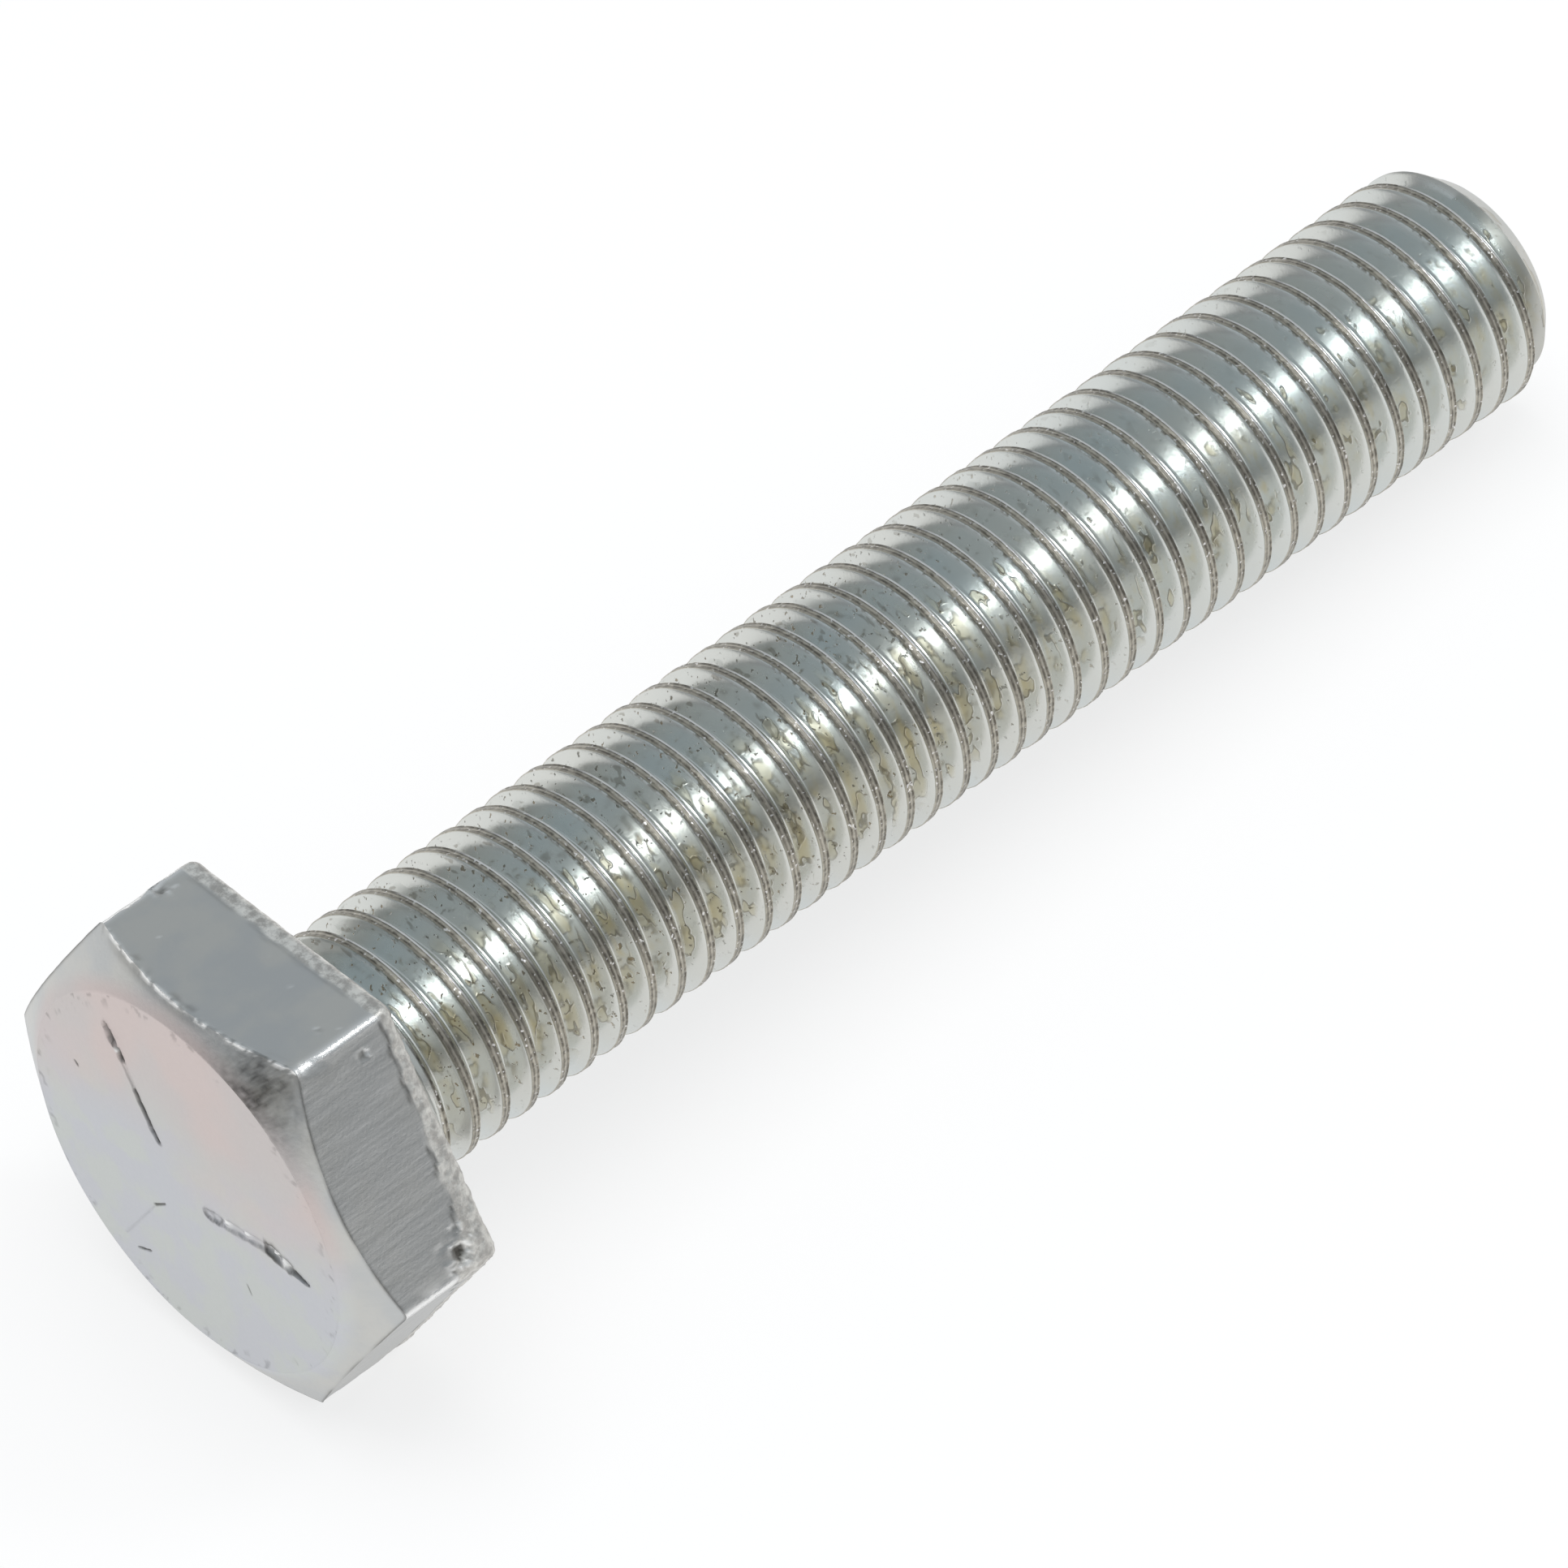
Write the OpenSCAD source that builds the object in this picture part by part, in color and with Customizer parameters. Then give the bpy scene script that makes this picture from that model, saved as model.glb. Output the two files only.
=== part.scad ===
// Hex head cap screw with a fine right-hand thread along its whole shank.
// The real screw is one piece of steel, headed and then thread-rolled, so it is one solid here.
// It is drawn about its own axis first: the bearing face lies at z = 0, the head is below it
// and the shank stands above it. Then it is laid down as it comes to rest on a table,
// on one flat of its head and on a crest near the end of its thread.

/* [Head] */
// Width of the hexagon across its flats
across_flats = 11.0; // [9:0.05:14]
// Height of the hexagon, without the washer face
hexagon_height = 3.6; // [3:0.05:6]
// Distance from the flats to the edge of the round top face, measured inwards
top_face_inset = 0.55; // [0.2:0.05:1.2]
// Slope of the top chamfer, from the plane of the top face
top_chamfer_angle = 30; // [15:1:35]
// Width of the bevel along the hexagon's edges on its bearing side
bearing_bevel = 0.25; // [0.05:0.05:0.5]
// Distance from the bevel to the edge of the round washer face, measured inwards
washer_face_inset = 0.425; // [0.05:0.025:1]
// Height of the washer face
washer_face_height = 0.25; // [0.1:0.05:0.8]

/* [Shank] */
// Length from the bearing face to the end of the point
shank_length = 37.6; // [20:0.05:50]
// Radius of the fillet between the neck and the bearing face
fillet_r = 0.4; // [0.3:0.05:0.6]
// Length of the plain neck between the fillet and the thread
neck_length = 0.1; // [0.05:0.05:2]
// Length over which the thread grows to its full depth
runout_length = 0.6; // [0.2:0.1:3]
// Distance from the bottom of the groove to the edge of the point's flat end, measured inwards
point_inset = 0.02; // [0.01:0.01:0.5]
// Slope of the chamfer of the point, from the plane of its end
point_angle = 50; // [30:1:60]

/* [Thread] */
// Width over the crests
major_d = 6.25; // [6.16:0.01:6.33]
// Height of a ridge above the pitch line, at which ridge and groove are equally wide
ridge_height = 0.2575; // [0.2:0.0025:0.3]
// Depth of the groove below the pitch line
groove_depth = 0.2975; // [0.25:0.0025:0.32]
// Distance from one crest to the next, for 28 threads to the inch
pitch = 0.9071; // [0.86:0.0001:1]
// Where the helix starts, turned about the axis from the flat that the screw lies on
start_angle = -175; // [-180:1:180]
// Straight facets in one turn of the thread
turn_facets = 24; // [12:2:24]

/* [Hidden] */
round_facets = 96;

// Unified threads have 60 degrees between their flanks
flank_slope = tan(30);
thread_depth = ridge_height + groove_depth;
crest_half = pitch / 4 - ridge_height * flank_slope;
foot_half = pitch / 4 + groove_depth * flank_slope;
root_d = major_d - 2 * thread_depth;
point_d = root_d - 2 * point_inset;

// The neck is as wide as the pitch line, because rolling pushes as much steel up as down
neck_d = major_d - 2 * ridge_height;

across_corners = across_flats / cos(30);
top_face_d = across_flats - 2 * top_face_inset;
bevelled_flats = across_flats - 2 * bearing_bevel;
washer_face_d = bevelled_flats - 2 * washer_face_inset;
head_height = hexagon_height + washer_face_height;

// The shank's surface is a net of points. Columns of them run along the shank, and each column
// lies a little further along than the one before it, so one turn climbs by one pitch. The lowest
// line of the shank lies in the middle of a facet, so that the screw rests on two corners of it.
column_step = 360 / turn_facets;
ridge_count = ceil(shank_length / pitch) + 3;
ridge_points = 4;
fillet_turns = [10, 35, 60, 90];
neck_end = fillet_r + neck_length;
root_inside_head = washer_face_height + hexagon_height / 4;

function held(value, low, high) = max(low, min(high, value));

// Radius to which the chamfer of the point cuts the thread at this height
function chamfer_r(z) = point_d / 2 + (shank_length - z) / tan(point_angle);

// Share of its full depth that the thread has at this height
function growth(z) = held((z - neck_end) / runout_length, 0, 1);

// Height of the middle of one ridge, at this angle about the axis
function ridge_z(index, angle) = pitch * (index - 1 + (angle - start_angle) / 360);

// A point of the thread, which would have this radius if it were full
function thread_point(z, full_r, angle) =
    let (
        height = held(z, neck_end, shank_length),
        rolled_r = neck_d / 2 + growth(height) * (full_r - neck_d / 2),
        r = min(rolled_r, chamfer_r(height))
    )
    [r * cos(angle), r * sin(angle), height];

// The four corners of one ridge. A crest that the chamfer cuts lower is wider.
function ridge(index, angle) =
    let (
        middle = ridge_z(index, angle),
        cut = held(major_d / 2 - chamfer_r(middle), 0, thread_depth),
        crest = crest_half + cut * flank_slope
    )
    [
        thread_point(middle - foot_half, root_d / 2, angle),
        thread_point(middle - crest, major_d / 2, angle),
        thread_point(middle + crest, major_d / 2, angle),
        thread_point(middle + foot_half, root_d / 2, angle)
    ];

// A point of the fillet, turned this far from the bearing face towards the neck
function fillet_point(turn, angle) =
    let (r = neck_d / 2 + fillet_r * (1 - sin(turn)))
    [r * cos(angle), r * sin(angle), fillet_r * (1 - cos(turn))];

// One column, from inside the head along the fillet and the thread to the end of the point
function column(angle) =
    [
        fillet_point(fillet_turns[0], angle) - [0, 0, root_inside_head],
        for (turn = fillet_turns) fillet_point(turn, angle),
        for (index = [0:ridge_count - 1]) each ridge(index, angle)
    ];

// Triangles between two columns. Rows above the fillet may join to rows further up the next one.
// Points that fell together at the neck or at the end of the point make no triangle.
function strip(points, first, second, rows, further) =
    [
        for (row = [0:rows - 2])
            let (
                shift = row > len(fillet_turns) ? further : 0,
                shift_above = row + 1 > len(fillet_turns) ? further : 0,
                a = first + row,
                b = first + row + 1,
                c = second + min(row + 1 + shift_above, rows - 1),
                d = second + min(row + shift, rows - 1)
            )
            each [
                if (points[a] != points[b]) [a, b, c],
                if (points[c] != points[d]) [a, c, d]
            ]
    ];

module threaded_shank() {
    columns = [for (k = [0:turn_facets - 1]) column((k + 0.5) * column_step)];
    rows = len(columns[0]);
    points = [for (one = columns) each one];
    last = turn_facets - 1;
    sides = [for (k = [0:last - 1]) each strip(points, k * rows, (k + 1) * rows, rows, 0)];
    // After a full turn, each ridge meets the one above it in the first column
    seam = strip(points, last * rows, 0, rows, ridge_points);
    foot = [for (k = [0:last]) k * rows];
    end = [for (k = [0:last]) (last - k) * rows + rows - 1];
    polyhedron(points = points, faces = concat(sides, seam, [foot, end]), convexity = 10);
}

// A hexagonal bar, bevelled on its bearing side and cut by the cone of the top chamfer
module hexagon() {
    straight_height = hexagon_height - bearing_bevel;
    cone_d = top_face_d + 2 * hexagon_height / tan(top_chamfer_angle);
    intersection() {
        rotate(30) union() {
            cylinder(d = across_corners, h = straight_height, $fn = 6);
            translate([0, 0, straight_height])
                cylinder(d1 = across_corners, d2 = bevelled_flats / cos(30), h = bearing_bevel, $fn = 6);
        }
        cylinder(d1 = top_face_d, d2 = cone_d, h = hexagon_height, $fn = round_facets);
    }
}

// The washer face starts inside the hexagon, so that the two join
module head() {
    translate([0, 0, -head_height]) {
        hexagon();
        translate([0, 0, head_height / 2])
            cylinder(d = washer_face_d, h = head_height / 2, $fn = round_facets);
    }
}

// Resting pose: the screw leans over the bearing-side edge of its lowest flat until the first
// of its crests meets the table. The origin is then under the middle of the screw's box.
resting_edge_z = -washer_face_height - bearing_bevel;
crest_slopes = [
    for (index = [0:ridge_count - 1])
        for (side = [-1, 1])
            for (corner = ridge(index, side * column_step / 2))
                (across_flats / 2 - corner.x) / (corner.z - resting_edge_z)
];
lean = atan(min(crest_slopes));
axis_height = across_flats / 2 * cos(lean) + resting_edge_z * sin(lean);
head_end_x = -head_height * cos(lean) - top_face_d / 2 * sin(lean);
point_end_x = shank_length * cos(lean) + point_d / 2 * cos(column_step / 2) * sin(lean);

module cap_screw() {
    color("silver")
        translate([-(head_end_x + point_end_x) / 2, 0, axis_height])
            rotate([0, 90 + lean, 0]) {
                head();
                threaded_shank();
            }
}

cap_screw();
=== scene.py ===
# %% [markdown]
# # A hex head cap screw, zinc plated and a little worn
# The screw is one piece of steel. A length of wire was headed into a hexagon, its shank was rolled
# between two dies that pressed the thread into it, and the whole was plated with clear zinc.
# We load its CAD model first. It is the frame that everything below has to fit.

# %% Load the CAD frame
import math

import bmesh
import bpy
from mathutils import Matrix, Vector, noise


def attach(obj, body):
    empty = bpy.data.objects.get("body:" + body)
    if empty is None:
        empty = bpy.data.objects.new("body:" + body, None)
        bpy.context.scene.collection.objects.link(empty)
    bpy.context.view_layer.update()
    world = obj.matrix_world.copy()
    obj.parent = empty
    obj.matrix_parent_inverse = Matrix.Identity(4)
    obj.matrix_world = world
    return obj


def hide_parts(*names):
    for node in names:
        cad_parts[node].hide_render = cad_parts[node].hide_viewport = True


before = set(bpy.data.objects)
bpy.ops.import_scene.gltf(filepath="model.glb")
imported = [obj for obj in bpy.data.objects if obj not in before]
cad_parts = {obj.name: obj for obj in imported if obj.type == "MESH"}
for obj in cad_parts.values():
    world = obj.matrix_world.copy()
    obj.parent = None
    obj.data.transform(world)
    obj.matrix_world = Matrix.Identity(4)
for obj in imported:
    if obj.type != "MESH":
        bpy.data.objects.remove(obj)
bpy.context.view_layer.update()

# %% [markdown]
# A screw is easiest to draw standing about its own axis, in millimetres: the bearing face at z = 0,
# the head below it, the point at the far end. So we keep the sizes of the drawing, which are those of
# the CAD source. The thread is a fine one, with 28 ridges to the inch and 60 degrees between its
# flanks, and it runs along the whole shank.

# %% Sizes of the drawing, in millimetres
MM = 0.001
across_flats = 11.0
hexagon_height = 3.6
washer_face_height = 0.25
washer_face_r = 4.825
bearing_bevel = 0.25
top_face_r = 4.95
top_chamfer = math.radians(30)
head_height = hexagon_height + washer_face_height

shank_length = 37.6
major_r = 3.125
pitch_r = 2.8675
root_r = 2.57
pitch = 0.9071
helix_start = -175.0
fillet_r = 0.4
neck_end = 0.5
runout_length = 0.6
point_r = 2.55
point_slope = 1 / math.tan(math.radians(50))
flank_slope = math.tan(math.radians(30))
crest_half = pitch / 4 - (major_r - pitch_r) * flank_slope
foot_half = pitch / 4 + (pitch_r - root_r) * flank_slope
print(f"A ridge is {2 * crest_half:.3f} mm wide at its crest and {2 * foot_half:.3f} mm at its foot")

# %% [markdown]
# On the table the screw leans, because its head is wider than its thread. It lies on the bearing-side
# edge of one flat and on the crest of a ridge near the point. The CAD source draws the thread with
# 24 facets in a turn and lays it on the middle of one, where a crest stands out a little less far.
# We work out the lean in the same way, and one matrix then lays every mesh down.

# %% Lay the drawing down on the table
cad_facets = 24
resting_ridge = 40
half_facet = math.pi / cad_facets
resting_crest_r = major_r * math.cos(half_facet)
resting_crest_z = pitch * (resting_ridge + (math.degrees(half_facet) - helix_start) / 360) + crest_half
resting_edge_z = -washer_face_height - bearing_bevel
lean = math.atan((across_flats / 2 - resting_crest_r) / (resting_crest_z - resting_edge_z))
axis_height = across_flats / 2 * math.cos(lean) + resting_edge_z * math.sin(lean)
head_end_x = -head_height * math.cos(lean) - top_face_r * math.sin(lean)
point_end_x = shank_length * math.cos(lean) + point_r * math.cos(half_facet) * math.sin(lean)
lay_down = (
    Matrix.Translation((-(head_end_x + point_end_x) / 2 * MM, 0, axis_height * MM))
    @ Matrix.Rotation(math.pi / 2 + lean, 4, "Y")
    @ Matrix.Scale(MM, 4)
)
print(f"The screw leans {math.degrees(lean):.3f} degrees")
print(f"Its axis is {axis_height:.3f} mm above the table at the bearing face")

# %% [markdown]
# The photograph was taken from the head's side, from above. The camera's place was solved from the
# head's corners and the thread's outline, in the frame of the drawing. A long lens far away keeps the
# perspective weak. The matrix that lays the meshes down carries the camera along too.

# %% The camera
picture_in_pixels = 1932
lens_in_pixels = 12019.75
camera_data = bpy.data.cameras.new("camera")
camera_data.sensor_width = 36.0
camera_data.lens = lens_in_pixels * camera_data.sensor_width / picture_in_pixels
camera_data.clip_start = 0.01
camera_data.clip_end = 10.0
camera = bpy.data.objects.new("camera", camera_data)
bpy.context.collection.objects.link(camera)

# Its right, up and back, and then its place, all in the drawing's frame
camera_axes = Matrix([
    (0.01680246, -0.69802015, 0.71588096),
    (-0.69358604, 0.50757019, 0.51118578),
    (-0.72017781, -0.50511422, -0.47560861),
]).transposed()
camera_spot = lay_down @ Vector((-160.96766684, -113.49667698, -92.30057063))
camera_turn = Matrix.Rotation(math.pi / 2 + lean, 3, "Y") @ camera_axes
camera.matrix_world = Matrix.Translation(camera_spot) @ camera_turn.to_4x4()
bpy.context.scene.camera = camera
bpy.context.scene.view_settings.view_transform = "Standard"
print("Camera at", [round(c, 4) for c in camera_spot], "with a lens of", round(camera_data.lens, 1), "mm")

# %% [markdown]
# The shank's shape and all materials below are made of nodes. One method adds a node of any kind from
# its type, its settings and its inputs, and links or sets each input as its value asks for.

# %% A helper that adds nodes to a tree
class Nodes:
    """Adds nodes to a tree: each takes its type, its settings and its inputs."""

    def __init__(self, tree):
        self.tree = tree

    def add(self, kind, settings=None, **inputs):
        """One node. An input is called by its name, or by i and its number, as in i0."""
        node = self.tree.nodes.new(kind)
        for name, value in (settings or {}).items():
            setattr(node, name, value)
        for name, value in inputs.items():
            key = int(name[1:]) if name[0] == "i" and name[1:].isdigit() else name.replace("_", " ")
            self.feed(node.inputs[key], value)
        return node

    def feed(self, socket, value):
        if isinstance(value, Value):
            self.tree.links.new(value.socket, socket)
        elif isinstance(value, bpy.types.NodeSocket):
            self.tree.links.new(value, socket)
        else:
            socket.default_value = value

    def value(self, socket):
        return Value(self, socket)

# %% [markdown]
# Node trees are easier to read when they are written as sums. So a small class lets a socket be added,
# multiplied and compared like a number. The reflected forms let a plain number stand first, as in 1 - x.

# %% A socket that counts like a number
class Value:
    """A socket that can be added, multiplied and compared as a number in Python."""

    def __init__(self, nodes, socket):
        self.nodes = nodes
        self.socket = socket

    def math(self, operation, *others, clamp=False):
        node = self.nodes.add("ShaderNodeMath", {"operation": operation, "use_clamp": clamp})
        for index, part in enumerate((self,) + others):
            self.nodes.feed(node.inputs[index], part)
        return Value(self.nodes, node.outputs[0])

    def __add__(self, other):
        return self.math("ADD", other)

    def __radd__(self, other):
        return self.math("ADD", other)

    def __sub__(self, other):
        return self.math("SUBTRACT", other)

    def __rsub__(self, other):
        return self.math("MULTIPLY", -1.0).math("ADD", other)

    def __mul__(self, other):
        return self.math("MULTIPLY", other)

    def __rmul__(self, other):
        return self.math("MULTIPLY", other)

    def __truediv__(self, other):
        return self.math("DIVIDE", other)

    def __pow__(self, other):
        return self.math("POWER", other)

    def smallest(self, other):
        return self.math("MINIMUM", other)

    def largest(self, other):
        return self.math("MAXIMUM", other)

    def held(self):
        """The same value, kept between 0 and 1."""
        return self.math("ADD", 0.0, clamp=True)

    def step(self, low, high):
        """0 below low, 1 above high, and a smooth rise between them."""
        node = self.nodes.add("ShaderNodeMapRange", {"interpolation_type": "SMOOTHSTEP"},
                              Value=self, From_Min=low, From_Max=high)
        return Value(self.nodes, node.outputs[0])

    def band(self, rise, full, fade, gone):
        """1 from full to fade, 0 before rise and after gone, and smooth between them."""
        return self.step(rise, full) * (1.0 - self.step(fade, gone))

# %% [markdown]
# A rolled thread is not quite the textbook triangle. The dies push the steel up from both sides, and
# where the two waves meet, the crest keeps a shallow furrow. Its edges are rounded, and so is the
# bottom of the groove. The flanks are true planes at 60 degrees to each other: light bounces from one
# to the other, so even a small error would move the highlights. Two rows hold each flank flat.
# The crests of the real screw are 0.05 mm broader than those of the CAD model, so we widen them.

# %% The profile of one pitch
widening = 0.03
crest = crest_half / pitch + widening
foot = foot_half / pitch + widening
flank = foot - crest
thread_rows = [
    # share of the pitch, share of the full height
    (0.5 - foot - 0.010, 0.03), (0.5 - foot + 0.09 * flank, 0.095),
    (0.5 - foot + 0.15 * flank, 0.15), (0.5 - foot + 0.80 * flank, 0.80),
    (0.5 - foot + 0.88 * flank, 0.88), (0.5 - foot + 0.955 * flank, 0.948),
    (0.5 - crest + 0.012, 0.992), (0.5 - 0.016, 0.985),
    (0.5 + 0.016, 0.962), (0.5 + crest - 0.014, 0.994),
    (0.5 + foot - 0.965 * flank, 0.955), (0.5 + foot - 0.88 * flank, 0.88),
    (0.5 + foot - 0.80 * flank, 0.80), (0.5 + foot - 0.15 * flank, 0.15),
    (0.5 + foot - 0.09 * flank, 0.095), (0.5 + foot + 0.010, 0.03),
]
rows_per_pitch = len(thread_rows)
around = 120
pitches = math.ceil(shank_length / pitch) + 3
rows_along = pitches * rows_per_pitch
print(f"{rows_per_pitch} rows in a pitch, {pitches} pitches, {around} columns")

# %% [markdown]
# The thread follows a rule, so Geometry Nodes can make the whole shank. Take a flat net of points.
# One direction of it runs around the shank, the other along it. Each column lies a little further
# along than the one before it, and after one turn the columns have climbed by exactly one pitch, so
# the net closes on itself. Two curves then say, for each row in a pitch, how far along it lies and how
# high it stands. That keeps every row on one line of the thread, and the crests stay crisp.

# %% The inputs of the shank's tree
def socket_in(tree, name, kind="NodeSocketFloat"):
    return tree.interface.new_socket(name=name, in_out="INPUT", socket_type=kind)

shank_tree = bpy.data.node_groups.new("rolled shank", "GeometryNodeTree")
sizes = {
    "Pitch": pitch, "Start angle": helix_start, "Major radius": major_r, "Root radius": root_r,
    "Neck radius": pitch_r, "Neck end": neck_end, "Runout length": runout_length, "Length": shank_length,
    "Point radius": point_r, "Point slope": point_slope, "Point rounding": 0.10,
}
for name in sizes:
    socket_in(shank_tree, name)
socket_in(shank_tree, "Columns", "NodeSocketInt")
socket_in(shank_tree, "Rows", "NodeSocketInt")
socket_in(shank_tree, "Steel", "NodeSocketMaterial")
shank_tree.interface.new_socket(name="Mesh", in_out="OUTPUT", socket_type="NodeSocketGeometry")
print("Sockets of the tree:", ", ".join(item.name for item in shank_tree.interface.items_tree))

# %% The net, and the row and column of each point
def profile_curve(nodes, share, points):
    """A float curve that passes straight from one row to the next."""
    node = nodes.add("ShaderNodeFloatCurve", Value=share)
    curve = node.mapping.curves[0]
    while len(curve.points) < len(points):
        curve.points.new(0.5, 0.5)
    for point, (x, y) in zip(curve.points, points):
        point.location = (x, y)
        point.handle_type = "VECTOR"
    node.mapping.update()
    return nodes.value(node.outputs[0])

# A float curve is kept as 256 samples, so it is exact at every sixteenth
curve_stops = 16
g = Nodes(shank_tree)
given = g.add("NodeGroupInput")
size = {name: g.value(given.outputs[name]) for name in sizes}
columns = g.value(given.outputs["Columns"])
rows = g.value(given.outputs["Rows"])
net = g.add("GeometryNodeMeshGrid", Vertices_X=(columns + 1).socket, Vertices_Y=rows.socket)
index = g.value(g.add("GeometryNodeInputIndex").outputs[0])
column = (index / rows).math("FLOOR")
row = index - column * rows
turn_share = column / columns
ridge = (row / rows_per_pitch).math("FLOOR")
row_share = (row - ridge * rows_per_pitch) / curve_stops
stops = [i / curve_stops for i in range(rows_per_pitch)]
along = profile_curve(g, row_share, list(zip(stops, [r[0] for r in thread_rows])))
height = profile_curve(g, row_share, list(zip(stops, [r[1] for r in thread_rows])))
print("The net has", (around + 1) * rows_along, "points before it is welded")

# %% [markdown]
# The rest is the same sum as in the CAD source: the row's place along the shank, held between the
# neck and the point, and its radius, which grows out of the neck and is cut by the chamfer of the
# point. A smooth minimum rounds the edge that the chamfer leaves. Each point also keeps two marks for
# the material: how high it stands on its ridge, and how far across the pitch it lies.

# %% Place each point of the net
raw_z = size["Pitch"] * (ridge + along + turn_share - 1.5 - size["Start angle"] / 360)
z = raw_z.largest(size["Neck end"]).smallest(size["Length"])
growth = ((z - size["Neck end"]) / size["Runout length"]).held()
full_height = size["Major radius"] - size["Root radius"]
full_r = size["Root radius"] + height * full_height
rolled_r = size["Neck radius"] + growth * (full_r - size["Neck radius"])
chamfer_r = size["Point radius"] + (size["Length"] - z) * size["Point slope"]
cut_r = rolled_r.math("SMOOTH_MIN", chamfer_r, size["Point rounding"])
at_end = raw_z.math("GREATER_THAN", size["Length"])
r = cut_r + at_end * (size["Point radius"] - cut_r)
angle = turn_share * (2 * math.pi)
spot = g.add("ShaderNodeCombineXYZ", X=r * angle.math("COSINE"), Y=r * angle.math("SINE"), Z=z)
placed = g.add("GeometryNodeSetPosition", Geometry=net.outputs["Mesh"], Position=spot.outputs[0])
on_points = {"data_type": "FLOAT", "domain": "POINT"}
ridge_share = ((r - size["Root radius"]) / full_height).held()
ridge_mark = g.add("GeometryNodeStoreNamedAttribute", on_points,
                   Geometry=placed.outputs[0], Name="on_ridge", Value=ridge_share)
side_mark = g.add("GeometryNodeStoreNamedAttribute", on_points,
                  Geometry=ridge_mark.outputs[0], Name="across_ridge", Value=along)
welded = g.add("GeometryNodeMergeByDistance", Geometry=side_mark.outputs[0], Distance=0.0004)
real = g.add("GeometryNodeRealizeInstances", Geometry=welded.outputs[0])
steel = g.add("GeometryNodeSetMaterial", Geometry=real.outputs[0], Material=given.outputs["Steel"])
result = g.add("NodeGroupOutput")
g.feed(result.inputs["Mesh"], steel.outputs[0])
print("The shank's tree has", len(shank_tree.nodes), "nodes")

# %% [markdown]
# The tree gives a mesh once it is evaluated. An empty object carries it for a moment: we set the
# tree's inputs, keep the plain mesh that comes out and throw the carrier away.

# %% Turn a tree into a plain mesh
def plain_mesh(name, tree, values):
    """Evaluate a tree once on an object of its own, and keep only the mesh that it gives."""
    carrier = bpy.data.objects.new(name + " carrier", bpy.data.meshes.new(name + " seed"))
    bpy.context.collection.objects.link(carrier)
    modifier = carrier.modifiers.new("shape", "NODES")
    modifier.node_group = tree
    for item in tree.interface.items_tree:
        if item.item_type == "SOCKET" and item.in_out == "INPUT" and item.name in values:
            modifier[item.identifier] = values[item.name]
    depsgraph = bpy.context.evaluated_depsgraph_get()
    mesh = bpy.data.meshes.new_from_object(carrier.evaluated_get(depsgraph))
    bpy.data.objects.remove(carrier)
    mesh.name = name
    return mesh

plated_thread = bpy.data.materials.new("zinc on the thread")
shank_mesh = plain_mesh("threaded_shank", shank_tree, {
    **sizes, "Columns": around, "Rows": rows_along, "Steel": plated_thread,
})
print("The rolled shank has", len(shank_mesh.polygons), "faces before its ends are closed")

# %% [markdown]
# The two ends of the net are still open rings. Towards the head the shank goes on as a neck and a
# fillet, because the real screw would break first at a sharp corner, and it ends inside the head. The
# far end is closed by a slightly hollow face, as rolling leaves it.

# %% Close the ends of the shank
def open_ring(bm, level):
    """The open edge's points at this height, in order around the axis."""
    ring = [v for v in bm.verts if v.is_boundary and abs(v.co.z - level) < 0.01]
    return sorted(ring, key=lambda v: math.atan2(v.co.y, v.co.x))

def carry_on(bm, ring, radius, level):
    """One more ring beyond this one, joined to it by faces."""
    new = []
    for v in ring:
        spoke = Vector((v.co.x, v.co.y, 0)).normalized()
        new.append(bm.verts.new(spoke * radius + Vector((0, 0, level))))
    for i in range(len(ring)):
        j = (i + 1) % len(ring)
        bm.faces.new((ring[i], ring[j], new[j], new[i]))
    return new

inside_head = -0.6
shank = bmesh.new()
shank.from_mesh(shank_mesh)
ring = open_ring(shank, neck_end)
for turned in (90, 67, 45, 22, 0):
    a = math.radians(turned)
    ring = carry_on(shank, ring, pitch_r + fillet_r * (1 - math.sin(a)), fillet_r * (1 - math.cos(a)))
ring = carry_on(shank, ring, pitch_r + fillet_r, inside_head)
shank.faces.new(ring)
ring = open_ring(shank, shank_length)
# Share of the point's radius, and how far the end face has sunk there
for share, sink in ((0.97, 0.0), (0.90, 0.01), (0.72, 0.05), (0.45, 0.08), (0.2, 0.09)):
    ring = carry_on(shank, ring, point_r * share, shank_length - sink)
shank.faces.new(ring)
bmesh.ops.recalc_face_normals(shank, faces=shank.faces)
print("Open edges left on the shank:", sum(e.is_boundary for e in shank.edges))

# %% [markdown]
# Rolling never leaves a crest perfectly even. A little noise moves the crests in and out by a few
# thousandths of a millimetre, so that their light breaks up as it does on steel.

# %% Roughen the crests
def wobble(point, scale, seed=0.0):
    return noise.noise(point * scale + Vector((seed, seed * 1.7, seed * 0.3)))

for v in shank.verts:
    away = math.hypot(v.co.x, v.co.y)
    share = (away - root_r) / (major_r - root_r)
    if share > 0.9 and v.co.z < shank_length - 0.02:
        push = 0.010 * wobble(v.co, 1.3, 3) + 0.008 * wobble(v.co, 6.0, 9) - 0.006
        v.co.x *= 1 + push / away
        v.co.y *= 1 + push / away
widest = max(math.hypot(v.co.x, v.co.y) for v in shank.verts if v.co.z > neck_end)
print("The crests now reach up to", round(widest, 3), "mm from the axis")
shank.to_mesh(shank_mesh)
shank.free()
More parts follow.
